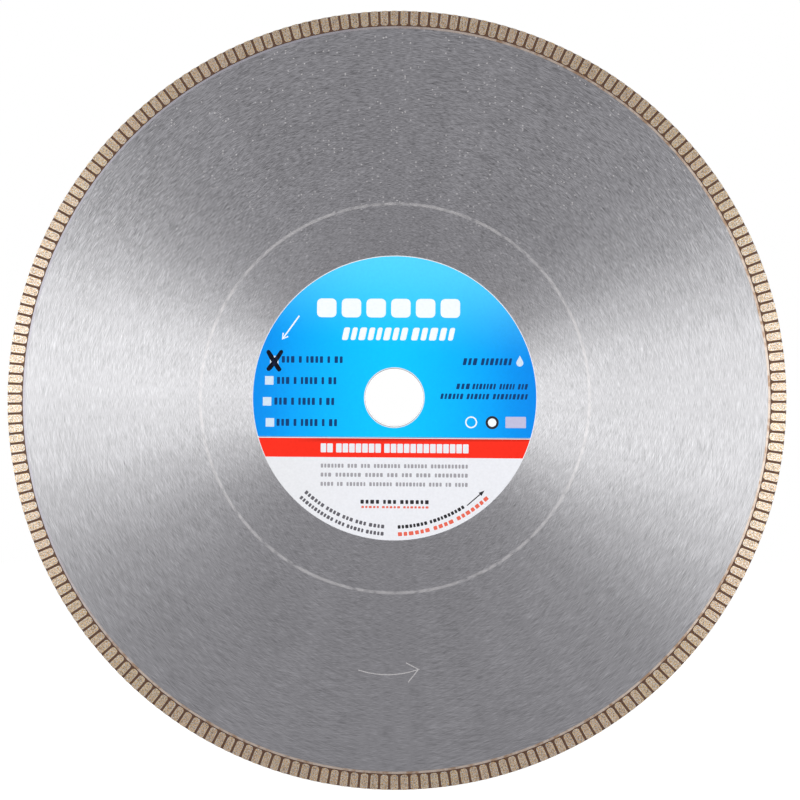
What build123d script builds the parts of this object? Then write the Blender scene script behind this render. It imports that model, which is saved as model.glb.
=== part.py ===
"""Notched-rim diamond blade for a lapidary slab saw, built from its separate pieces.

Lengths are in millimetres. The blade stands upright with its spin axis along Y:
the label side faces -Y, +Z is the top of the label and the origin is the centre of the bore.
Plane.XZ has its normal towards -Y, so a positive offset is on the label side.
"""
from build123d import *
from math import cos, pi, radians, sin
import os

# ---- overall sizes -------------------------------------------------------------------------
blade_diameter = 355.6          # 14 in over the pads
kerf = 1.524                    # 0.060 in over the faces of the pads
arbor_bore_diameter = 25.4      # 1 in

# ---- steel core ----------------------------------------------------------------------------
core_diameter = 339.2
core_thickness = 1.27
bore_chamfer = 0.12
tension_ring_radius = 88.8      # centre line of the rolled tensioning ring
tension_ring_width = 1.2
tension_ring_depth = 0.015

# ---- etched rotation arrow, on the label side of the core ------------------------------------
arrow_tail = (-16.4, -123.7)
arrow_middle = (-3.0, -125.85)
arrow_tip = (11.0, -123.4)
arrow_upper_barb = (5.3, -120.4)
arrow_lower_barb = (6.3, -129.2)
arrow_line_width = 0.4
arrow_depth = 0.02

# ---- rim: backing ring and notched diamond ring ----------------------------------------------
backing_ring_width = 1.0
backing_ring_thickness = 1.38   # stands 0.055 proud of each face of the core
rim_web_thickness = 0.924       # metal left under the notches of both faces
web_inset = 0.25                # the web stops this far inside the faces' outer ends
pads_per_face = 240
notch_width = 1.0
pad_inner_gap = 0.3             # floor left between the backing ring and the pads
pad_inner_rounding = 1.3
pad_outer_rounding = 1.0
pad_draft = 12                  # degrees, moulded sides of the pads

# ---- label -----------------------------------------------------------------------------------
label_diameter = 130.0
label_hole_diameter = 27.0
label_turn = -0.5               # degrees, the label is stuck on slightly turned
adhesive_thickness = 0.02
sheet_thickness = 0.06
ink_thickness = 0.012
adhesive_setback = 0.15         # the adhesive stops short of the sheet's edges
ink_border = 0.35               # unprinted edge round the sheet and its hole
blue_field_bottom = -17.95      # height of the blue field's lower edge
red_band_top = -18.65
red_band_bottom = -27.3

# ---- heading left unprinted in the red band, as plain blocks grouped like words ---------------
heading_left = -33.4
heading_right = 34.0
heading_middle = -23.1
heading_block_height = 4.1
heading_block_rounding = 0.35
heading_block_gap = 0.45
heading_word_gap = 1.5
heading_blocks_per_word = (2, 7, 13)

# ---- sizes that follow from the ones above ---------------------------------------------------
blade_radius = blade_diameter / 2
core_radius = core_diameter / 2
core_face = core_thickness / 2
bore_radius = arbor_bore_diameter / 2
web_inner_radius = core_radius + backing_ring_width
web_face = rim_web_thickness / 2
pad_height = kerf / 2 - web_face
pad_inner_radius = web_inner_radius + pad_inner_gap
pad_pitch_angle = 360 / pads_per_face
label_radius = label_diameter / 2
label_hole_radius = label_hole_diameter / 2
sheet_back = core_face + adhesive_thickness
ink_back = sheet_back + sheet_thickness
print_outer_radius = label_radius - ink_border
print_inner_radius = label_hole_radius + ink_border


def pad_width_at(radius):
    """Width of a pad at a radius, with the notches the same width all along."""
    return 2 * pi * radius / pads_per_face - notch_width


def print_plane():
    """Front of the label sheet, turned in its own plane the way the label is stuck on."""
    across = (cos(radians(label_turn)), 0, sin(radians(label_turn)))
    return Plane(origin=(0, -ink_back, 0), x_dir=across, z_dir=(0, -1, 0))


def heading_blocks():
    """Width of one heading block and the centres of all of them, from left to right."""
    block_count = sum(heading_blocks_per_word)
    word_count = len(heading_blocks_per_word)
    gaps = (block_count - word_count) * heading_block_gap + (word_count - 1) * heading_word_gap
    block_width = (heading_right - heading_left - gaps) / block_count
    centres = []
    left = heading_left
    for blocks in heading_blocks_per_word:
        for _ in range(blocks):
            centres.append((left + block_width / 2, heading_middle))
            left += block_width + heading_block_gap
        left += heading_word_gap - heading_block_gap
    return block_width, centres


# ---- steel core: flat disc, bore, tensioning ring on both faces, etched arrow ----------------
with BuildPart() as steel_core:
    with BuildSketch(Plane.XZ):
        Circle(core_radius)
        Circle(bore_radius, mode=Mode.SUBTRACT)
    extrude(amount=core_face, both=True)
    bore_edges = steel_core.edges().filter_by(GeomType.CIRCLE).sort_by(SortBy.RADIUS)[:2]
    chamfer(bore_edges, length=bore_chamfer)

    for face_offset, cut_depth in ((core_face, -tension_ring_depth), (-core_face, tension_ring_depth)):
        with BuildSketch(Plane.XZ.offset(face_offset)):
            Circle(tension_ring_radius + tension_ring_width / 2)
            Circle(tension_ring_radius - tension_ring_width / 2, mode=Mode.SUBTRACT)
        extrude(amount=cut_depth, mode=Mode.SUBTRACT)

    with BuildSketch(Plane.XZ.offset(core_face)):
        with BuildLine():
            ThreePointArc(arrow_tail, arrow_middle, arrow_tip)
            Polyline(arrow_upper_barb, arrow_tip, arrow_lower_barb)
        trace(line_width=arrow_line_width)
    extrude(amount=-arrow_depth, mode=Mode.SUBTRACT)

# ---- backing ring: plain strip of bond metal round the core's edge ---------------------------
with BuildPart() as rim_backing_ring:
    with BuildSketch(Plane.XZ):
        Circle(web_inner_radius)
        Circle(core_radius, mode=Mode.SUBTRACT)
    extrude(amount=backing_ring_thickness / 2, both=True)

# ---- one pad, seen square on: rounded inner end, slightly rounded outer corners --------------
with BuildSketch() as pad_outline:
    inner_half_width = pad_width_at(pad_inner_radius) / 2
    outer_half_width = pad_width_at(blade_radius) / 2
    with BuildLine():
        Polyline(
            (pad_inner_radius, -inner_half_width),
            (blade_radius, -outer_half_width),
            (blade_radius, outer_half_width),
            (pad_inner_radius, inner_half_width),
            close=True,
        )
    make_face()
    fillet(pad_outline.vertices().sort_by(Axis.X)[:2], radius=pad_inner_rounding)
    fillet(pad_outline.vertices().sort_by(Axis.X)[-2:], radius=pad_outer_rounding)

# ---- diamond rim: a web with pads on both faces, the back ones half a pitch further round ----
with BuildPart() as diamond_rim:
    with BuildSketch(Plane.XZ):
        Circle(blade_radius - web_inset)
        Circle(web_inner_radius, mode=Mode.SUBTRACT)
    extrude(amount=web_face, both=True)

    with BuildSketch(Plane.XZ.offset(web_face)):
        with PolarLocations(0, pads_per_face):
            add(pad_outline.sketch)
    extrude(amount=pad_height, taper=pad_draft)

    with BuildSketch(Plane.XZ.offset(-web_face)):
        with PolarLocations(0, pads_per_face, start_angle=pad_pitch_angle / 2):
            add(pad_outline.sketch)
    extrude(amount=-pad_height, taper=pad_draft)

# ---- label: adhesive film, white sheet, then the two printed fields --------------------------
with BuildPart() as label_adhesive:
    with BuildSketch(Plane.XZ.offset(core_face)):
        Circle(label_radius - adhesive_setback)
        Circle(label_hole_radius + adhesive_setback, mode=Mode.SUBTRACT)
    extrude(amount=adhesive_thickness)

with BuildPart() as label_sheet:
    with BuildSketch(Plane.XZ.offset(sheet_back)):
        Circle(label_radius)
        Circle(label_hole_radius, mode=Mode.SUBTRACT)
    extrude(amount=sheet_thickness)

with BuildPart() as label_blue_ink:
    with BuildSketch(print_plane()):
        Circle(print_outer_radius)
        Circle(print_inner_radius, mode=Mode.SUBTRACT)
        with Locations((0, blue_field_bottom)):
            Rectangle(label_diameter, label_diameter, align=(Align.CENTER, Align.MAX), mode=Mode.SUBTRACT)
    extrude(amount=ink_thickness)

with BuildPart() as label_red_ink:
    with BuildSketch(print_plane()):
        Circle(print_outer_radius)
        with Locations((0, red_band_top)):
            Rectangle(label_diameter, red_band_top - red_band_bottom,
                      align=(Align.CENTER, Align.MAX), mode=Mode.INTERSECT)
        heading_block_width, heading_centres = heading_blocks()
        with Locations(*heading_centres):
            RectangleRounded(heading_block_width, heading_block_height, heading_block_rounding,
                             mode=Mode.SUBTRACT)
    extrude(amount=ink_thickness)

# ---- write every piece to its own file -------------------------------------------------------
pieces = {
    "steel_core": steel_core,
    "rim_backing_ring": rim_backing_ring,
    "diamond_rim": diamond_rim,
    "label_adhesive": label_adhesive,
    "label_sheet": label_sheet,
    "label_blue_ink": label_blue_ink,
    "label_red_ink": label_red_ink,
}
os.makedirs("parts", exist_ok=True)
for piece_name, piece in pieces.items():
    piece.part.label = piece_name
    export_step(piece.part, f"parts/{piece_name}.step")
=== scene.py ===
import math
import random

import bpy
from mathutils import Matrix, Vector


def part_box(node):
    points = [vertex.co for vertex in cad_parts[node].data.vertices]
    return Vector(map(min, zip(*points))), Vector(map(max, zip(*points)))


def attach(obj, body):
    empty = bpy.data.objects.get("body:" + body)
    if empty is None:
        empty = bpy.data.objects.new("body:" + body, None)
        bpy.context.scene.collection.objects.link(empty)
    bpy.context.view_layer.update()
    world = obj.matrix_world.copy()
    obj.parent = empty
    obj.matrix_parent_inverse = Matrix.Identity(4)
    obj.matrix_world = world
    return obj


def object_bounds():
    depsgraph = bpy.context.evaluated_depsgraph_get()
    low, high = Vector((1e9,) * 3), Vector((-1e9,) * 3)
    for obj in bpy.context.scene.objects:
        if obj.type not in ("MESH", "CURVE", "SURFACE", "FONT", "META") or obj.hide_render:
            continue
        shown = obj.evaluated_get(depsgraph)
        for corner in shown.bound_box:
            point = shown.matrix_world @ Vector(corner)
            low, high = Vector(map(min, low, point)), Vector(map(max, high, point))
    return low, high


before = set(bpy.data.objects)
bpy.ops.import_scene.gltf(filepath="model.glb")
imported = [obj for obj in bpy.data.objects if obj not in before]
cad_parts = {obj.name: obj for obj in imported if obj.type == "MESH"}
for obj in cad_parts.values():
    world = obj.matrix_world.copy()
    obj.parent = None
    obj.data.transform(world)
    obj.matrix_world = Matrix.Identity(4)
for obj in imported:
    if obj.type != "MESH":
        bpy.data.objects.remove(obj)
cad_low, cad_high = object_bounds()

# A notched-rim lapidary blade, upright with its spin axis along Y and its label side facing -Y.
# The CAD pieces get their finishes here, and the printed marks, the marker cross and the diamond
# grit are added as meshes. MM turns millimetres into Blender's metres.

MM = 0.001

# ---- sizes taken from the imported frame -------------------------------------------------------
rim_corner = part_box("diamond_rim")[1]
BLADE_RADIUS = rim_corner.x
PAD_FACE = rim_corner.y
SHEET_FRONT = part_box("label_sheet")[0].y
INK_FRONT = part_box("label_blue_ink")[0].y

# ---- sizes that the finishes share with the solids -------------------------------------------
PADS_PER_FACE = 240
NOTCH_WIDTH = 1.0 * MM
PAD_INNER_RADIUS = 170.9 * MM
TENSION_RING_RADIUS = 88.8 * MM
TENSION_RING_HALF_WIDTH = 0.6 * MM
ARROW_INSIDE = 110 * MM             # the etched arrow lies between these two radii
ARROW_OUTSIDE = 140 * MM
ARROW_FLOOR_LIMIT = 0.6175 * MM     # the arrow's floor is deeper than this, the ring's is not
LIP_INSIDE = 12.6 * MM              # the painted white highlight on the steel's edge round the bore lies between these two radii
LIP_OUTSIDE = 13.2 * MM
LABEL_TURN = math.radians(-0.5)

# ---- the printed marks -----------------------------------------------------------------------
PRINT_THICKNESS = 0.008 * MM
MARKER_THICKNESS = 0.012 * MM
LETTER_WIDTHS = (1.0, 0.84, 1.12, 0.92, 0.78, 1.06, 0.88)
ROUNDEST = 0.4                      # corners take up no more than this share of a block


# ---- shader building blocks ------------------------------------------------------------------
class Shader:
    """A material and short calls for the nodes that its finish is made of."""

    def __init__(self, name):
        self.material = bpy.data.materials.new(name)
        self.material.use_nodes = True
        self.nodes = self.material.node_tree.nodes
        self.links = self.material.node_tree.links
        self.surface = self.nodes["Principled BSDF"]
        self.where = self.add("ShaderNodeTexCoord").outputs["Object"]

    def add(self, kind, **settings):
        node = self.nodes.new(kind)
        for key, value in settings.items():
            setattr(node, key, value)
        return node

    def feed(self, socket, source):
        """Links a socket to the source, or gives it the source as its own value."""
        if isinstance(source, bpy.types.NodeSocket):
            self.links.new(source, socket)
        else:
            socket.default_value = source

    def set(self, **values):
        for key, value in values.items():
            self.feed(self.surface.inputs[key.replace("_", " ")], value)

    def math(self, operation, *sources):
        node = self.add("ShaderNodeMath", operation=operation)
        for socket, source in zip(node.inputs, sources):
            self.feed(socket, source)
        return node.outputs[0]

    def chain(self, operation, sources):
        """Joins the sources one after another by the same operation."""
        result = sources[0]
        for source in sources[1:]:
            result = self.math(operation, result, source)
        return result

    def total(self, *sources):
        return self.chain("ADD", sources)

    def product(self, *sources):
        return self.chain("MULTIPLY", sources)

    def highest(self, *sources):
        return self.chain("MAXIMUM", sources)

    def rise(self, value, start, end):
        """0 before start and 1 past end, smooth between. It falls instead if end is below start."""
        node = self.add("ShaderNodeMapRange", interpolation_type="SMOOTHSTEP")
        self.feed(node.inputs["Value"], value)
        falls = start > end
        self.feed(node.inputs["From Min"], end if falls else start)
        self.feed(node.inputs["From Max"], start if falls else end)
        self.feed(node.inputs["To Min"], 1.0 if falls else 0.0)
        self.feed(node.inputs["To Max"], 0.0 if falls else 1.0)
        return node.outputs["Result"]

    def spread(self, value, low, high):
        """A value that runs from 0 to 1, stretched to run from low to high."""
        node = self.add("ShaderNodeMapRange", clamp=False)
        self.feed(node.inputs["Value"], value)
        self.feed(node.inputs["To Min"], low)
        self.feed(node.inputs["To Max"], high)
        return node.outputs["Result"]

    def swing(self, value, amount):
        """A value that runs from 0 to 1, turned into one that runs from -amount to amount."""
        return self.spread(value, -amount, amount)

    def vector(self, x, y, z):
        node = self.add("ShaderNodeCombineXYZ")
        for socket, source in zip(node.inputs, (x, y, z)):
            self.feed(socket, source)
        return node.outputs[0]

    def split(self, vector):
        node = self.add("ShaderNodeSeparateXYZ")
        self.links.new(vector, node.inputs[0])
        return node.outputs

    def noise(self, vector, scale, detail=2.0, roughness=0.5):
        node = self.add("ShaderNodeTexNoise")
        self.links.new(vector, node.inputs["Vector"])
        self.feed(node.inputs["Scale"], scale)
        self.feed(node.inputs["Detail"], detail)
        self.feed(node.inputs["Roughness"], roughness)
        return node.outputs[0]

    def cells(self, vector, scale):
        """The distance to the nearest cell centre, in cells, and a random number for the cell."""
        node = self.add("ShaderNodeTexVoronoi")
        self.links.new(vector, node.inputs["Vector"])
        self.feed(node.inputs["Scale"], scale)
        colour = self.add("ShaderNodeSeparateColor")
        self.links.new(node.outputs["Color"], colour.inputs[0])
        return node.outputs["Distance"], colour.outputs[0]

    def specks(self, vector, scale, share, size):
        """1 on small round specks in the given share of the cells, and 0 between them."""
        distance, chance = self.cells(vector, scale)
        return self.product(self.rise(distance, size, size * 0.5),
                            self.math("GREATER_THAN", chance, 1 - share))

    def mix(self, factor, first, second):
        node = self.add("ShaderNodeMix", data_type="RGBA")
        for socket, source in zip((node.inputs[0], node.inputs[6], node.inputs[7]),
                                  (factor, first, second)):
            self.feed(socket, source)
        return node.outputs[2]

    def scaled(self, colour, factor):
        """A colour made darker or lighter by a factor."""
        node = self.add("ShaderNodeVectorMath", operation="SCALE")
        self.feed(node.inputs[0], colour if isinstance(colour, bpy.types.NodeSocket) else colour[:3])
        self.feed(node.inputs["Scale"], factor)
        return node.outputs[0]

    def bump(self, height, distance, strength=1.0):
        node = self.add("ShaderNodeBump")
        self.links.new(height, node.inputs["Height"])
        self.feed(node.inputs["Distance"], distance)
        self.feed(node.inputs["Strength"], strength)
        return node.outputs[0]

    def polar(self):
        """The distance from the spin axis, and the unit x and z of the direction out from it."""
        x, _, z = self.split(self.where)
        radius = self.math("SQRT", self.total(self.product(x, x), self.product(z, z)))
        return radius, self.math("DIVIDE", x, radius), self.math("DIVIDE", z, radius)

    def ground_round_the_axis(self):
        """Turns the shader's stretched highlight so that the grinding lines run round the axis."""
        tangent = self.add("ShaderNodeTangent", direction_type="RADIAL", axis="Y")
        self.links.new(tangent.outputs[0], self.surface.inputs["Tangent"])
        self.set(Anisotropic_Rotation=0.25)


def srgb(red, green, blue):
    """An 8-bit screen colour as the linear colour that a shader takes."""
    def linear(level):
        level = level / 255
        return level / 12.92 if level <= 0.04045 else ((level + 0.055) / 1.055) ** 2.4
    return (linear(red), linear(green), linear(blue), 1.0)


# ---- finishes --------------------------------------------------------------------------------
BARE_STEEL = srgb(191, 191, 192)
MARKED_STEEL = srgb(242, 238, 236)
# painted highlight colour of the steel's edge round the bore
LIP_HIGHLIGHT_WHITE = srgb(255, 255, 255)
BRONZE = srgb(234, 190, 125)
GREENER_BRONZE = srgb(230, 191, 121)
WORN_METAL = srgb(224, 227, 228)
PIT_BROWN = srgb(96, 66, 48)
# painted glint colour on the pad faces
GLINT_WHITE = srgb(255, 246, 226)
NOTCH_BROWN = srgb(112, 84, 68)

GROUND_STRETCH = 0.85               # anisotropy of the ground and dressed faces
STREAK_PITCH = 0.20 * MM
STREAK_SWEEP = 25 * MM              # how far a streak moves in or out over one radian
STREAKS_ROUND = 22.0
STREAK_TONE = 0.52                  # the tones say by how much a pattern lightens and darkens
SCRATCH_PITCH = 0.30 * MM
SCRATCHES_ROUND = 60.0
SCRATCH_TONE = 0.75
SCRATCHES_LOW_DOWN = 0.35           # share of the scratches' tone that shows low on the blade
SCRATCHES_ADDED_HIGH_UP = 0.75
WEDGE_TONE = 0.09
CLOUD_TONE = 0.08
RING_PALENESS = 0.36
ARROW_PALENESS = 0.6
SPECK_PALENESS = 0.5
STEEL_ROUGHNESS = 0.40
SOFT_EDGE = 0.1 * MM
HAIR = 0.001 * MM

PAD_BRIGHTNESS = 1.07
PAD_ROUGHNESS = 0.62
PAD_GRAIN_TONE = 1.5
PAD_BLOTCH_TONE = 0.24
PAD_EDGE_WEAR_AND_HIGHLIGHT_TONE = 0.16
PAD_EDGE_WIDTH = 0.75 * MM
PAD_EDGE_CORE = 0.15 * MM           # the pad's edge, lightened partly by wear and partly by a painted highlight, is fully bright within this distance


def grinding_streaks(s, radius, unit_x, unit_z):
    """Two families of short streaks that cross the turning direction at a small angle."""
    angle = s.math("ARCTAN2", unit_x, unit_z)
    families = []
    for sweep in (STREAK_SWEEP, -STREAK_SWEEP):
        across = s.math("DIVIDE", s.total(radius, s.product(angle, sweep)), STREAK_PITCH)
        place = s.vector(across, s.product(unit_x, STREAKS_ROUND), s.product(unit_z, STREAKS_ROUND))
        families.append(s.noise(place, scale=1.0, roughness=0.6))
    return families


def steel_tone(s, radius, unit_x, unit_z, grain, height):
    """The steel's light and dark, and the scratches in it, which are stronger higher up."""
    wedges = s.noise(s.vector(unit_x, 0.0, unit_z), scale=9.0, detail=3.0, roughness=0.7)
    clouds = s.noise(s.where, scale=22.0)
    place = s.vector(s.math("DIVIDE", radius, SCRATCH_PITCH),
                     s.product(unit_x, SCRATCHES_ROUND), s.product(unit_z, SCRATCHES_ROUND))
    scratches = s.noise(place, scale=1.0)
    strength = s.total(SCRATCHES_LOW_DOWN,
                       s.product(s.rise(height, 20 * MM, 110 * MM), SCRATCHES_ADDED_HIGH_UP))
    tone = s.total(1.0, grain, s.swing(wedges, WEDGE_TONE), s.swing(clouds, CLOUD_TONE),
                   s.product(s.swing(scratches, SCRATCH_TONE), strength))
    return tone, scratches


def tension_ring(s, radius):
    """1 on the rolled ring where it shows, broken up along its length, and 0 elsewhere."""
    from_ring = s.math("ABSOLUTE", s.math("SUBTRACT", radius, TENSION_RING_RADIUS))
    band = s.rise(from_ring, TENSION_RING_HALF_WIDTH * 1.6, TENSION_RING_HALF_WIDTH * 0.6)
    return s.product(band, s.rise(s.noise(s.where, scale=260.0, detail=3.0), 0.20, 0.60))


def etched_arrow(s, radius):
    """1 on the floor of the etched arrow and 0 elsewhere."""
    depth = s.math("ABSOLUTE", s.split(s.where)[1])
    return s.product(s.rise(depth, ARROW_FLOOR_LIMIT + HAIR, ARROW_FLOOR_LIMIT - HAIR),
                     s.rise(radius, ARROW_INSIDE, ARROW_INSIDE + MM),
                     s.rise(radius, ARROW_OUTSIDE, ARROW_OUTSIDE - MM))


def bore_lip_highlight(s, radius):
    """1 on the steel's edge round the bore, where a white highlight is painted, and 0 elsewhere."""
    inside = s.rise(radius, LIP_OUTSIDE + SOFT_EDGE, LIP_OUTSIDE)
    return s.product(inside, s.rise(radius, LIP_INSIDE, LIP_INSIDE + SOFT_EDGE))


def ground_steel():
    """Steel ground flat on a turning table: a circular grain that spreads highlights outwards."""
    s = Shader("ground_steel")
    radius, unit_x, unit_z = s.polar()
    height = s.split(s.where)[2]
    first, second = grinding_streaks(s, radius, unit_x, unit_z)
    grain = s.total(s.swing(first, STREAK_TONE), s.swing(second, STREAK_TONE))
    tone, scratches = steel_tone(s, radius, unit_x, unit_z, grain, height)
    # The steel's edge round the bore gets a white, less metallic colour: a painted highlight.
    lip_highlight = bore_lip_highlight(s, radius)
    specks = s.product(s.specks(s.where, scale=800.0, share=0.09, size=0.40),
                       s.rise(height, -50 * MM, 150 * MM))
    marks_and_lip_highlight = s.highest(s.product(tension_ring(s, radius), RING_PALENESS),
                       s.product(etched_arrow(s, radius), ARROW_PALENESS),
                       s.product(specks, SPECK_PALENESS), lip_highlight)
    pale = s.mix(lip_highlight, MARKED_STEEL, LIP_HIGHLIGHT_WHITE)
    relief = s.total(s.product(s.total(first, second), 0.2), scratches)
    s.set(Base_Color=s.mix(marks_and_lip_highlight, s.scaled(BARE_STEEL, tone), pale),
          Metallic=s.math("SUBTRACT", s.spread(marks_and_lip_highlight, 1.0, 0.4), s.product(lip_highlight, 0.35)),
          Anisotropic=GROUND_STRETCH,
          Roughness=s.total(STEEL_ROUGHNESS, s.product(grain, 0.08), s.product(marks_and_lip_highlight, 0.15)),
          Normal=s.bump(relief, distance=0.03 * MM, strength=0.6))
    s.ground_round_the_axis()
    return s.material


def pad_edges(s, radius, unit_x, unit_z):
    """1 along the rim of each raised pad's face, falling to 0 towards its middle; the lightening it
    carries is partly wear and partly a painted edge highlight.
    """
    turns = s.product(s.math("ARCTAN2", unit_z, unit_x), PADS_PER_FACE / math.tau)
    back = s.math("GREATER_THAN", s.split(s.where)[1], 0.0)
    turns = s.total(turns, s.product(back, 0.5))
    from_middle = s.math("ABSOLUTE", s.math("SUBTRACT", s.math("FRACT", s.total(turns, 0.5)), 0.5))
    pitch = s.product(radius, math.tau / PADS_PER_FACE)
    to_side = s.math("SUBTRACT", s.product(s.math("SUBTRACT", 0.5, from_middle), pitch),
                     NOTCH_WIDTH / 2)
    to_inner_end = s.math("SUBTRACT", radius, PAD_INNER_RADIUS)
    to_outer_end = s.math("SUBTRACT", BLADE_RADIUS, radius)
    to_edge = s.math("MINIMUM", to_side, s.math("MINIMUM", to_inner_end, to_outer_end))
    return s.rise(to_edge, PAD_EDGE_WIDTH, PAD_EDGE_CORE)


def pad_faces(s, grain, blotches, edge, unit_x, unit_z):
    """Bronze dressed bright, with brown pits and painted pale glints, and 1 on its whiter worn
    grains.
    """
    round_the_rim = s.noise(s.vector(unit_x, 0.0, unit_z), scale=5.0, detail=3.0)
    pits = s.specks(s.where, scale=1500.0, share=0.16, size=0.45)
    # Pale specks painted into the colour: painted glints off the grit.
    painted_glints = s.specks(s.where, scale=2100.0, share=0.06, size=0.40)
    worn = s.rise(s.noise(s.where, scale=2600.0), 0.45, 0.57)
    bronze = s.mix(s.rise(round_the_rim, 0.40, 0.62), BRONZE, GREENER_BRONZE)
    # Lighter pad edges: partly wear, partly a painted highlight along the edges.
    tone = s.total(PAD_BRIGHTNESS, s.swing(grain, PAD_GRAIN_TONE),
                   s.swing(blotches, PAD_BLOTCH_TONE), s.product(edge, PAD_EDGE_WEAR_AND_HIGHLIGHT_TONE))
    colour = s.scaled(s.mix(worn, bronze, WORN_METAL), tone)
    away_from_edge = s.math("SUBTRACT", 1.0, edge)
    colour = s.mix(s.product(pits, away_from_edge, 0.75), colour, PIT_BROWN)
    return s.mix(s.product(painted_glints, 0.8), colour, GLINT_WHITE), worn


def sintered_rim():
    """Pressed and sintered bronze: pad faces dressed bright, notches left dark as fired."""
    s = Shader("sintered_bronze")
    radius, unit_x, unit_z = s.polar()
    depth = s.math("ABSOLUTE", s.split(s.where)[1])
    face = s.rise(depth, PAD_FACE - 0.06 * MM, PAD_FACE - 0.015 * MM)
    edge = pad_edges(s, radius, unit_x, unit_z)
    grain = s.noise(s.where, scale=1400.0, detail=4.0, roughness=0.7)
    blotches = s.noise(s.where, scale=420.0)
    bright, worn = pad_faces(s, grain, blotches, edge, unit_x, unit_z)
    dark = s.scaled(NOTCH_BROWN, s.total(1.0, s.swing(grain, 0.35), s.swing(blotches, 0.25)))
    s.set(Base_Color=s.mix(face, dark, bright),
          Metallic=s.total(0.55, s.product(face, 0.40)),
          Anisotropic=GROUND_STRETCH,
          Roughness=s.total(PAD_ROUGHNESS, s.swing(grain, 0.08), s.product(face, worn, -0.26)),
          Normal=s.bump(grain, distance=0.05 * MM, strength=0.6))
    s.ground_round_the_axis()
    return s.material


def backing_bronze():
    """The narrow ground band between the steel and the notched rim, steel-toned at its upper left."""
    s = Shader("backing_bronze")
    radius, unit_x, unit_z = s.polar()
    first, second = grinding_streaks(s, radius, unit_x, unit_z)
    stains = s.noise(s.where, scale=240.0, detail=3.0)
    upper_left = s.rise(s.math("SUBTRACT", s.product(unit_z, 0.55), unit_x), 0.25, 0.8)
    grain = s.noise(s.where, scale=3200.0)
    tone = s.total(0.95, s.swing(first, 0.25), s.swing(grain, 0.3))
    bronze = s.mix(s.rise(stains, 0.42, 0.66), s.scaled(srgb(232, 216, 200), tone),
                   s.scaled(srgb(192, 160, 132), tone))
    s.set(Base_Color=s.mix(upper_left, bronze, s.scaled(srgb(200, 198, 204), tone)),
          Metallic=0.95,
          Anisotropic=0.7,
          Roughness=s.total(0.46, s.swing(second, 0.08)),
          Normal=s.bump(grain, distance=0.03 * MM, strength=0.5))
    s.ground_round_the_axis()
    return s.material


def print_finish(s, colour, roughness=0.42):
    """A printed or coated film: faint mottling of the colour and a light orange-peel surface."""
    mottle = s.noise(s.where, scale=900.0)
    peel = s.noise(s.where, scale=1600.0, detail=1.0)
    s.set(Base_Color=s.scaled(colour, s.spread(mottle, 0.94, 1.06)),
          Specular_IOR_Level=0.08,
          Roughness=s.total(roughness, s.swing(peel, 0.05)),
          Normal=s.bump(peel, distance=0.004 * MM, strength=0.35))
    return s.material


def adhesive_film():
    s = Shader("label_adhesive")
    return print_finish(s, srgb(222, 214, 188), roughness=0.55)


def label_paper():
    """White coated paper, a little greyer towards the left."""
    s = Shader("label_paper")
    x = s.split(s.where)[0]
    return print_finish(s, s.mix(s.rise(x, -60 * MM, -10 * MM), srgb(228, 229, 232),
                                 srgb(231, 232, 237)))


# Distances from the blue field's middle in millimetres, each with the colour that is reached there.
BLUE_STOPS = ((0, (4, 195, 252)), (10, (4, 192, 252)), (20, (3, 186, 251)), (30, (3, 178, 249)),
              (45, (2, 162, 246)), (55, (2, 147, 238)), (64, (2, 138, 234)))
BLUE_MIDDLE = -1.5 * MM
BLUE_TOP = srgb(90, 215, 253)


def blue_ink():
    """Printed sky blue that darkens from the middle to the left and right and pales at the top."""
    s = Shader("label_blue_ink")
    x, _, z = s.split(s.where)
    aside = s.math("ABSOLUTE", s.math("SUBTRACT", x, BLUE_MIDDLE))
    ramp = s.add("ShaderNodeValToRGB")
    span = BLUE_STOPS[-1][0]
    s.links.new(s.math("DIVIDE", aside, span * MM), ramp.inputs[0])
    stops = ramp.color_ramp.elements
    while len(stops) < len(BLUE_STOPS):
        stops.new(1.0)
    for stop, (distance, colour) in zip(stops, BLUE_STOPS):
        stop.position = distance / span
        stop.color = srgb(*colour)
    top = s.rise(s.total(z, s.product(x, 0.12)), 20 * MM, 72 * MM)
    return print_finish(s, s.mix(s.product(top, 0.85), ramp.outputs[0], BLUE_TOP))


def red_ink():
    """Printed red, deeper along the band's upper edge to the right of its left end."""
    s = Shader("label_red_ink")
    x, _, z = s.split(s.where)
    shaded = s.product(s.rise(z, -20.6 * MM, -19.2 * MM), s.rise(x, -50 * MM, -25 * MM))
    red = s.mix(s.noise(s.where, scale=60.0), srgb(250, 50, 30), srgb(244, 42, 26))
    return print_finish(s, s.mix(shaded, red, srgb(206, 40, 26)))


def plain_ink(name, red, green, blue):
    return print_finish(Shader(name), srgb(red, green, blue))


def marker_ink():
    """Felt pen: nearly black, thinner and bluer where the strokes ran dry."""
    s = Shader("marker_ink")
    dry = s.rise(s.noise(s.where, scale=700.0, detail=3.0), 0.45, 0.75)
    return print_finish(s, s.mix(dry, srgb(10, 12, 22), srgb(22, 34, 66)), roughness=0.5)


def diamond():
    """Industrial diamond grit: pale yellow-green crystals with glassy faces."""
    s = Shader("diamond_grit")
    tint = s.noise(s.where, scale=900.0)
    s.set(Base_Color=s.mix(s.rise(tint, 0.35, 0.65), srgb(226, 220, 170), srgb(250, 244, 224)),
          Roughness=s.spread(tint, 0.12, 0.28),
          IOR=2.417,
          Normal=s.bump(s.noise(s.where, scale=9000.0), distance=0.01 * MM, strength=0.3))
    return s.material


def dress(node, material):
    """Gives a CAD piece its finish."""
    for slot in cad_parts[node].material_slots:
        slot.material = material


def mesh_object(name, points, faces, material):
    """A mesh of one material, put into the scene."""
    mesh = bpy.data.meshes.new(name)
    mesh.from_pydata(points, [], faces)
    mesh.materials.append(material)
    mesh.update()
    made = bpy.data.objects.new(name, mesh)
    bpy.context.scene.collection.objects.link(made)
    return made


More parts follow.
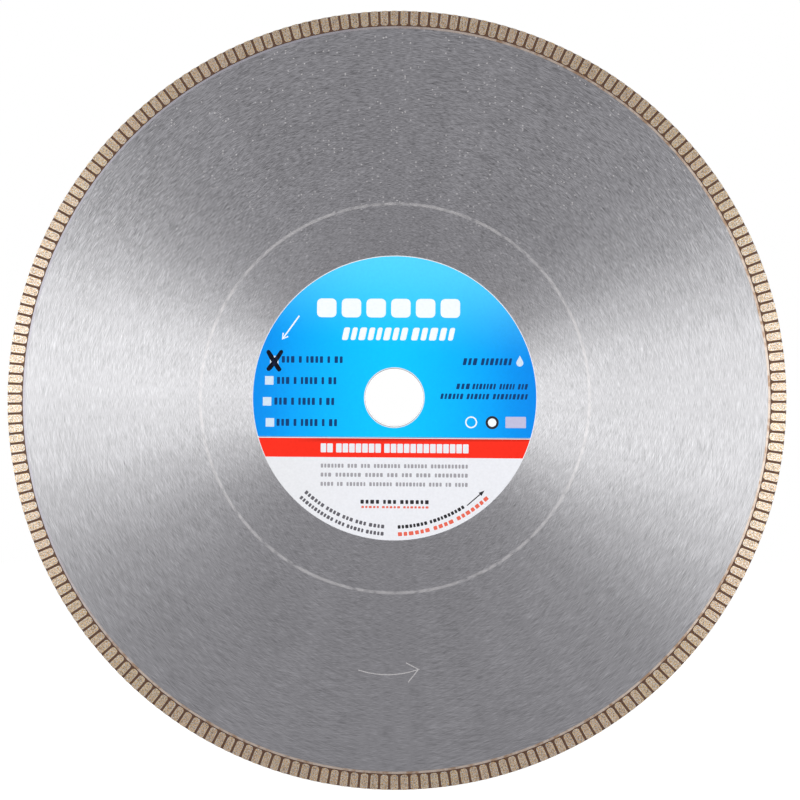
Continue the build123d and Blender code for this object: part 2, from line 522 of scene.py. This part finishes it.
# ---- flat printed meshes ---------------------------------------------------------------------
class Print:
    """Flat shapes of one ink, drawn in millimetres from the label's centre: u right and v up."""

    def __init__(self, name, ground, thickness=PRINT_THICKNESS):
        self.name = name
        self.ground = ground
        self.front = ground - thickness
        self.points = []
        self.faces = []

    def shape(self, outline):
        """Adds one closed slab. Its outline runs anticlockwise as seen from the label side."""
        start, count = len(self.points), len(outline)
        for depth in (self.front, self.ground):
            for u, v in outline:
                x = (u * math.cos(LABEL_TURN) - v * math.sin(LABEL_TURN)) * MM
                z = (u * math.sin(LABEL_TURN) + v * math.cos(LABEL_TURN)) * MM
                self.points.append((x, depth, z))
        self.faces.append([start + i for i in range(count)])
        self.faces.append([start + count + i for i in reversed(range(count))])
        for i in range(count):
            after = (i + 1) % count
            self.faces.append([start + after, start + i, start + count + i, start + count + after])

    def ring(self, outer, inner):
        """Adds a ring of short slabs set end to end. Its two outlines have as many points."""
        count = len(outer)
        for i in range(count):
            after = (i + 1) % count
            self.shape([outer[i], outer[after], inner[after], inner[i]])

    def block(self, left, right, low, high, rounding, place=None):
        """Adds a rounded rectangle, put through place, which may slant it or bend it round."""
        outline = rounded_block(left, right, low, high, rounding)
        self.shape([place(s, h) for s, h in outline] if place else outline)

    def words(self, letters, left, right, low, high, place=None, letter_gap=0.24, word_gap=0.62,
              rounding=0.3):
        """Adds one row of blocks, grouped like words with the given numbers of letters."""
        widths = [LETTER_WIDTHS[i % len(LETTER_WIDTHS)] for i in range(sum(letters))]
        gaps = len(widths) - 1
        full = sum(widths) + letter_gap * gaps + word_gap * (len(letters) - 1)
        unit = (right - left) / full
        ends = {sum(letters[:i + 1]) for i in range(len(letters) - 1)}
        at = left
        for index, width in enumerate(widths, start=1):
            self.block(at, at + width * unit, low, high,
                       min(rounding, width * unit * ROUNDEST, (high - low) * ROUNDEST), place)
            at += (width + letter_gap + (word_gap if index in ends else 0)) * unit

    def finish(self, material):
        """Puts the shapes into the scene as one piece that rides on the blade."""
        piece = mesh_object(self.name, self.points, self.faces, material)
        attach(piece, "root")


CORNER_STEPS = 3


def rounded_block(left, right, low, high, rounding):
    """The outline of a rounded rectangle, anticlockwise from its lower right corner."""
    outline = []
    corners = ((right - rounding, low + rounding, -90), (right - rounding, high - rounding, 0),
               (left + rounding, high - rounding, 90), (left + rounding, low + rounding, 180))
    for middle_u, middle_v, start in corners:
        for step in range(CORNER_STEPS + 1):
            angle = math.radians(start + 90 * step / CORNER_STEPS)
            outline.append((middle_u + rounding * math.cos(angle),
                            middle_v + rounding * math.sin(angle)))
    return outline


def disc(middle_u, middle_v, radius, steps=32):
    """The outline of a round disc."""
    return [(middle_u + radius * math.cos(math.tau * i / steps),
             middle_v + radius * math.sin(math.tau * i / steps)) for i in range(steps)]


def slanted(foot, degrees):
    """Leans a row to the right, about the height of its foot."""
    slope = math.tan(math.radians(degrees))
    return lambda s, h: (s + (h - foot) * slope, h)


def round_the_foot(radius):
    """Bends a row round the label's lower edge: s is an angle in degrees right of straight down,
    and h is how far inside the row's middle radius a point is."""
    def place(s, h):
        angle = math.radians(s)
        reach = radius - h
        return (reach * math.sin(angle), -reach * math.cos(angle))
    return place


def open_arrow(tail, tip, width, barb_length, barb_angle):
    """The outline of an arrow whose head is two open strokes."""
    tail, tip = Vector(tail), Vector(tip)
    along = (tip - tail).normalized()
    side = Vector((-along.y, along.x))
    opening = math.radians(barb_angle)
    outline = [tail - side * width / 2]
    reach = width / 2 / math.tan(opening) + width / 2 / math.sin(opening)
    for turn in (-1, 1):
        barb = -along * math.cos(opening) + side * turn * math.sin(opening)
        across = Vector((-barb.y, barb.x)) * turn
        inner = tip - along * reach
        corners = [inner + side * turn * width / 2, tip + barb * barb_length + across * width,
                   tip + barb * barb_length]
        outline += corners + [tip] if turn < 0 else corners[::-1]
    outline.append(tail + side * width / 2)
    return [tuple(point) for point in outline]


def closed_arrow(tail, tip, width, head_length, head_half_width):
    """The outline of an arrow with a solid head."""
    tail, tip = Vector(tail), Vector(tip)
    along = (tip - tail).normalized()
    side = Vector((-along.y, along.x))
    neck = tip - along * head_length
    outline = (tail - side * width / 2, neck - side * width / 2, neck - side * head_half_width, tip,
               neck + side * head_half_width, neck + side * width / 2, tail + side * width / 2)
    return [tuple(point) for point in outline]


def stroke(points, widths):
    """The outline of a pen stroke through the points, with its own width at each of them."""
    points = [Vector(point) for point in points]
    left, right = [], []
    for i, (point, width) in enumerate(zip(points, widths)):
        before, after = points[max(i - 1, 0)], points[min(i + 1, len(points) - 1)]
        along = (after - before).normalized()
        side = Vector((-along.y, along.x)) * width / 2
        left.append(tuple(point + side))
        right.append(tuple(point - side))
    return right + left[::-1]


# ---- what is printed on the label --------------------------------------------------------------
# Sizes are in millimetres and places are measured from the label's centre. A word is its number of
# letters, left and right. A place is left, right, low and high.
ROW_LEAN = 12                       # degrees that the slanted rows lean to the right

TITLE_BLOCKS = 6
TITLE_LEFT = -35.7
TITLE_PITCH = 11.3
TITLE_BLOCK_WIDTH = 8.9
TITLE_LOW, TITLE_HIGH = 36.6, 45.2
TITLE_ROUNDING = 2.0
SECOND_LINE_WORDS = ((8, -24.3, 5.0), (5, 7.3, 26.4))
SECOND_LINE_LOW, SECOND_LINE_HIGH = 26.2, 32.0
CHECK_BOX_WIDTH = 3.9
CHECK_BOX_CORNERS = ((-57.0, 14.9), (-59.2, 5.6), (-60.1, -4.0), (-58.7, -13.6))

SIZE_ROW_LETTERS = (3, 1, 4, 1, 2)
SIZE_ROW_PLACES = ((-51.6, -23.8, 15.7, 18.7), (-53.7, -26.6, 5.95, 9.15),
                   (-54.8, -27.5, -3.55, -0.3), (-53.7, -26.1, -13.2, -10.0))

# Each usage line has its lower and upper edge, then its words.
USAGE_LINES = ((15.05, 18.2, ((3, 31.0, 37.2), (7, 39.2, 52.9))),
               (4.05, 6.6, ((3, 28.1, 34.0), (7, 35.4, 45.8), (5, 47.7, 54.4), (3, 56.1, 60.3))),
               (-0.5, 2.0, ((6, 20.9, 31.0), (6, 32.8, 42.8), (9, 44.7, 60.3))))

DROP_U, DROP_V, DROP_TIP_V = 57.05, 16.15, 19.5
DROP_RADIUS = 1.6
DROP_STEPS = 16
RING_CENTRE = (35.1, -11.0)
RING_OUTER, RING_INNER = 2.7, 2.1
DISC_CENTRE = (44.65, -11.1)
DISC_RADIUS, DISC_MIDDLE_RADIUS = 3.0, 1.9
DISC_MIDDLE_THICKNESS = 0.003 * MM
PANEL = (50.7, 60.0, -13.5, -8.4)

DIVIDER_HALF_LENGTH = 61.8
DIVIDER_LOW, DIVIDER_HIGH = -18.3, -17.97

PARAGRAPH_LEFT, PARAGRAPH_RIGHT = -33.3, 33.7
PARAGRAPH_HEIGHT = 1.8
PARAGRAPH_LINES = ((-32.1, (7, 3, 3, 8, 7, 11)), (-36.2, (3, 7, 5, 3, 3, 4, 9)),
                   (-40.4, (4, 2, 6, 7, 9, 4, 2, 4)))
INNER_FOOT_RADIUS, OUTER_FOOT_RADIUS = 58.9, 62.2


def white_marks(ink, box_ink):
    """On the blue field: title and second line, arrow and check boxes."""
    title = Print("print_title_blocks", INK_FRONT)
    for i in range(TITLE_BLOCKS):
        left = TITLE_LEFT + i * TITLE_PITCH
        title.block(left, left + TITLE_BLOCK_WIDTH, TITLE_LOW, TITLE_HIGH, TITLE_ROUNDING)
    title.finish(ink)

    second = Print("print_second_line_blocks", INK_FRONT)
    lean = slanted(SECOND_LINE_LOW, ROW_LEAN)
    for letters, left, right in SECOND_LINE_WORDS:
        second.words((letters,), left, right, SECOND_LINE_LOW, SECOND_LINE_HIGH, lean,
                     letter_gap=0.45, rounding=0.8)
    second.finish(ink)

    arrow = Print("print_white_arrow", INK_FRONT)
    arrow.shape(open_arrow(tail=(-43.8, 37.2), tip=(-51.6, 26.25), width=0.65, barb_length=3.1,
                           barb_angle=32))
    arrow.finish(ink)

    boxes = Print("print_check_boxes", INK_FRONT)
    for left, low in CHECK_BOX_CORNERS:
        boxes.block(left, left + CHECK_BOX_WIDTH, low, low + CHECK_BOX_WIDTH, rounding=0.15)
    boxes.finish(box_ink)


def size_rows(ink):
    """The four rows beside the check boxes."""
    rows = Print("print_size_rows", INK_FRONT)
    for left, right, low, high in SIZE_ROW_PLACES:
        rows.words(SIZE_ROW_LETTERS, left, right, low, high, letter_gap=0.6, word_gap=0.9)
    rows.finish(ink)


def usage_lines(ink):
    """The slanted lines at the right of the bore."""
    lines = Print("print_usage_lines", INK_FRONT)
    for low, high, words in USAGE_LINES:
        for letters, left, right in words:
            lines.words((letters,), left, right, low, high, slanted(low, ROW_LEAN), letter_gap=0.6)
    lines.finish(ink)


def drop_outline():
    """A drop: its tip, then round its bottom from the upper left to the upper right."""
    outline = [(DROP_U, DROP_TIP_V)]
    for step in range(DROP_STEPS + 1):
        angle = math.radians(150 + 240 * step / DROP_STEPS)
        outline.append((DROP_U + DROP_RADIUS * math.cos(angle),
                        DROP_V + DROP_RADIUS * math.sin(angle)))
    return outline


def small_signs(white, black, pale_blue, lavender):
    """A drop, a plain ring, a plain disc with a white middle, and a plain panel."""
    drop = Print("print_drop", INK_FRONT)
    drop.shape(drop_outline())
    drop.finish(pale_blue)

    ring = Print("print_ring", INK_FRONT)
    ring.ring(disc(*RING_CENTRE, RING_OUTER), disc(*RING_CENTRE, RING_INNER))
    ring.finish(white)

    back_disc = Print("print_black_disc", INK_FRONT)
    back_disc.shape(disc(*DISC_CENTRE, DISC_RADIUS))
    back_disc.finish(black)

    middle = Print("print_disc_middle", INK_FRONT - PRINT_THICKNESS, DISC_MIDDLE_THICKNESS)
    middle.shape(disc(*DISC_CENTRE, DISC_MIDDLE_RADIUS))
    middle.finish(white)

    panel = Print("print_plain_panel", INK_FRONT)
    panel.block(*PANEL, rounding=0.3)
    panel.finish(lavender)


def divider(ink):
    """The thin line that runs just under the lower edge of the blue field."""
    line = Print("print_divider_line", SHEET_FRONT)
    line.shape([(-DIVIDER_HALF_LENGTH, DIVIDER_LOW), (DIVIDER_HALF_LENGTH, DIVIDER_LOW),
                (DIVIDER_HALF_LENGTH, DIVIDER_HIGH), (-DIVIDER_HALF_LENGTH, DIVIDER_HIGH)])
    line.finish(ink)


def straight_paper_rows(grey, dark, red):
    """The paragraph, and under it the maker's line with its underline."""
    paragraph = Print("print_paragraph", SHEET_FRONT)
    for low, letters in PARAGRAPH_LINES:
        paragraph.words(letters, PARAGRAPH_LEFT, PARAGRAPH_RIGHT, low, low + PARAGRAPH_HEIGHT,
                        letter_gap=0.5, word_gap=1.2)
    paragraph.finish(grey)

    maker = Print("print_maker_line", SHEET_FRONT)
    maker.words((4, 3, 6), -15.0, 16.05, -48.4, -46.6, letter_gap=0.55, word_gap=0.7)
    maker.finish(dark)

    under = Print("print_maker_underline", SHEET_FRONT)
    under.words((5, 5, 7), -14.6, 16.0, -50.4, -49.4, letter_gap=0.5, word_gap=0.7)
    under.finish(red)


def curved_paper_rows(dark_grey, dark, red):
    """The rows bent round the label's lower edge, with left and right in degrees."""
    inner = round_the_foot(INNER_FOOT_RADIUS)
    outer = round_the_foot(OUTER_FOOT_RADIUS)

    left = Print("print_left_rows", SHEET_FRONT)
    left.words((6, 4, 3, 3, 4), -43, -4, -0.85, 0.85, inner, letter_gap=0.45)
    left.words((11, 3, 5, 5), -43, -4, -0.85, 0.85, outer, letter_gap=0.45)
    left.finish(dark_grey)

    right = Print("print_right_row", SHEET_FRONT)
    right.words((8, 10), 2, 33, -0.8, 0.8, inner, letter_gap=0.4)
    right.finish(dark)

    lower = Print("print_right_red_row", SHEET_FRONT)
    lower.words((6, 4, 7), 2, 43.5, -0.9, 0.9, outer, letter_gap=0.4)
    lower.finish(red)

    arrow = Print("print_right_arrow", SHEET_FRONT)
    arrow.shape(closed_arrow(tail=(33.5, -48.9), tip=(41.4, -42.0), width=0.5, head_length=2.7,
                             head_half_width=1.0))
    arrow.finish(dark)


# ---- the cross drawn by hand -------------------------------------------------------------------
MARKER_GAP = 0.0005 * MM            # the strokes start this far in front of the blue ink
FALLING_STROKE = ((-58.2, 21.4), (-57.9, 20.8), (-56.4, 18.2), (-54.9, 15.8), (-53.3, 13.3),
                  (-52.5, 12.2), (-52.2, 11.9))
FALLING_WIDTHS = (0.8, 1.9, 2.2, 2.0, 2.1, 1.9, 0.8)
RISING_STROKE = ((-51.5, 21.4), (-51.8, 20.8), (-53.3, 18.4), (-55.0, 16.0), (-57.0, 13.5),
                 (-57.9, 12.5), (-58.3, 12.2))
RISING_WIDTHS = (0.8, 1.8, 2.0, 2.1, 2.2, 1.9, 0.8)


def marker_cross(ink):
    """The cross drawn by hand over the first check box: one stroke lies a little lower."""
    ground = INK_FRONT - MARKER_GAP
    falling = Print("marker_stroke_falling", ground, MARKER_THICKNESS - 0.002 * MM)
    falling.shape(stroke(FALLING_STROKE, FALLING_WIDTHS))
    falling.finish(ink)
    rising = Print("marker_stroke_rising", ground, MARKER_THICKNESS)
    rising.shape(stroke(RISING_STROKE, RISING_WIDTHS))
    rising.finish(ink)


# ---- diamond grit ------------------------------------------------------------------------------
CRYSTALS_PER_PAD = 8
CRYSTAL_PROUD = 0.018 * MM
CRYSTAL_RADII = (172.0, 176.9)      # millimetres from the spin axis
CRYSTAL_SIZES = (0.14, 0.22)        # millimetres from a crystal's centre to its points
CRYSTAL_ASIDE = 1.25                # millimetres to either side of a pad's middle
CRYSTAL_LEAN = 0.5                  # radians
CRYSTAL_UNEVENNESS = (0.85, 1.1)
rng = random.Random(355)


def add_crystal(points, faces, centre, size):
    """Adds a slightly uneven octahedron, turned at random."""
    start = len(points)
    turn = rng.random() * math.tau
    lean = rng.uniform(-CRYSTAL_LEAN, CRYSTAL_LEAN)
    outwards = Vector((0, 1, 0))
    across = Vector((math.cos(turn), 0, math.sin(turn)))
    up = outwards * math.cos(lean) + across.cross(outwards) * math.sin(lean)
    third = across.cross(up)
    for axis in (across, up, third):
        for direction in (1, -1):
            points.append(centre + axis * direction * size * rng.uniform(*CRYSTAL_UNEVENNESS))
    for a in (0, 1):
        for b in (2, 3):
            for c in (4, 5):
                corners = [start + a, start + b, start + c]
                faces.append(corners if (a + b + c) % 2 == 0 else corners[::-1])


def diamond_grit(material):
    """Crystals that stand a few hundredths of a millimetre out of the pad faces."""
    points, faces = [], []
    for side in (-1, 1):
        for pad in range(PADS_PER_FACE):
            middle = (pad + (0.5 if side > 0 else 0.0)) * math.tau / PADS_PER_FACE
            for _ in range(CRYSTALS_PER_PAD):
                radius = rng.uniform(*CRYSTAL_RADII) * MM
                angle = middle + rng.uniform(-CRYSTAL_ASIDE, CRYSTAL_ASIDE) * MM / radius
                size = rng.uniform(*CRYSTAL_SIZES) * MM
                centre = Vector((radius * math.cos(angle),
                                 side * (PAD_FACE + CRYSTAL_PROUD - size), radius * math.sin(angle)))
                add_crystal(points, faces, centre, size)
    piece = mesh_object("diamond_grit", [tuple(point) for point in points], faces, material)
    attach(piece, "root")


# ---- floor, light and camera -------------------------------------------------------------------
FLOOR_REACH = 12.0
FLOOR_GLOW = 0.7
CAMERA_DISTANCE = 1.3
CAMERA_AZIMUTH = math.radians(2.86)
CAMERA_ELEVATION = math.radians(-2.86)
CAMERA_TARGET = Vector((2.56, 0, -1.04)) * MM
CAMERA_LENS = 128.3
SOFTBOX_WIDTH = 0.5
# Each softbox has its name, its place and height in metres, and its watts.
SOFTBOXES = (("softbox_left", (-0.9, -1.6, 0.15), 0.58, 5.4),
             ("softbox_right", (0.9, -1.6, 0.03), 0.86, 7.4),
             ("softbox_back_left", (-0.9, 1.6, 0.0), 0.78, 6.6),
             ("softbox_back_right", (0.9, 1.6, 0.0), 0.78, 6.6))
WORLD_WHITE = (1, 1, 1, 1)
WORLD_FOR_STEEL = (0.402, 0.394, 0.42, 1)
WORLD_FOR_PAINT = (0.38, 0.38, 0.381, 1)


def floor_paint():
    """Matt white that glows a little."""
    s = Shader("floor_paint")
    s.set(Base_Color=s.mix(s.noise(s.where, scale=3.0), srgb(245, 245, 246), srgb(250, 250, 250)),
          Specular_IOR_Level=0.0,
          Roughness=0.9,
          Emission_Color=(1.0, 1.0, 1.0, 1.0),
          Emission_Strength=FLOOR_GLOW)
    return s.material


def build_floor():
    """A pale floor under the blade. The steel doesn't mirror it and it doesn't block the lights."""
    corners = ((-1, -1), (1, -1), (1, 1), (-1, 1))
    points = [(x * FLOOR_REACH, y * FLOOR_REACH, cad_low.z) for x, y in corners]
    floor = mesh_object("floor", points, [(0, 1, 2, 3)], floor_paint())
    floor.visible_glossy = False
    floor.visible_shadow = False


def softbox(name, place, height, watts):
    """A large rectangular lamp aimed at the blade's centre."""
    data = bpy.data.lights.new(name, "AREA")
    data.shape = "RECTANGLE"
    data.size = SOFTBOX_WIDTH
    data.size_y = height
    data.energy = watts
    lamp = bpy.data.objects.new(name, data)
    lamp.location = place
    lamp.rotation_mode = "QUATERNION"
    lamp.rotation_quaternion = (-Vector(place)).to_track_quat("-Z", "Y")
    lamp.visible_camera = False
    bpy.context.scene.collection.objects.link(lamp)


def build_world():
    """White to the camera, and a mid grey as light, a little brighter in reflections."""
    world = bpy.data.worlds.new("studio")
    bpy.context.scene.world = world
    world.use_nodes = True
    nodes, links = world.node_tree.nodes, world.node_tree.links
    path = nodes.new("ShaderNodeLightPath")
    colour = WORLD_FOR_PAINT
    for ray, other in (("Is Glossy Ray", WORLD_FOR_STEEL), ("Is Camera Ray", WORLD_WHITE)):
        mix = nodes.new("ShaderNodeMix")
        mix.data_type = "RGBA"
        links.new(path.outputs[ray], mix.inputs[0])
        if isinstance(colour, bpy.types.NodeSocket):
            links.new(colour, mix.inputs[6])
        else:
            mix.inputs[6].default_value = colour
        mix.inputs[7].default_value = other
        colour = mix.outputs[2]
    links.new(colour, nodes["Background"].inputs["Color"])


def build_camera():
    data = bpy.data.cameras.new("camera")
    data.lens = CAMERA_LENS
    camera = bpy.data.objects.new("camera", data)
    back = Vector((math.sin(CAMERA_AZIMUTH) * math.cos(CAMERA_ELEVATION),
                   -math.cos(CAMERA_AZIMUTH) * math.cos(CAMERA_ELEVATION),
                   math.sin(CAMERA_ELEVATION)))
    camera.location = back * CAMERA_DISTANCE
    camera.rotation_mode = "QUATERNION"
    camera.rotation_quaternion = (CAMERA_TARGET - camera.location).to_track_quat("-Z", "Y")
    bpy.context.scene.collection.objects.link(camera)
    bpy.context.scene.camera = camera


dress("steel_core", ground_steel())
dress("rim_backing_ring", backing_bronze())
dress("diamond_rim", sintered_rim())
dress("label_adhesive", adhesive_film())
dress("label_sheet", label_paper())
dress("label_blue_ink", blue_ink())
dress("label_red_ink", red_ink())

white = plain_ink("ink_white", 240, 246, 252)
dark_blue = plain_ink("ink_dark_blue", 14, 60, 114)
grey = plain_ink("ink_grey", 158, 156, 161)
dark_grey = plain_ink("ink_dark_grey", 98, 96, 102)
black = plain_ink("ink_black", 46, 44, 48)
light_red = plain_ink("ink_light_red", 228, 104, 84)
pale_blue = plain_ink("ink_pale_blue", 206, 223, 238)
lavender = plain_ink("ink_lavender", 190, 188, 216)
divider_blue = plain_ink("ink_divider", 120, 140, 176)
white_marks(white, pale_blue)
size_rows(dark_blue)
usage_lines(dark_blue)
small_signs(white, black, pale_blue, lavender)
divider(divider_blue)
straight_paper_rows(grey, black, light_red)
curved_paper_rows(dark_grey, black, light_red)
marker_cross(marker_ink())
diamond_grit(diamond())

bpy.context.scene.view_settings.view_transform = "Standard"
build_floor()
build_world()
for name, place, height, watts in SOFTBOXES:
    softbox(name, place, height, watts)
build_camera()
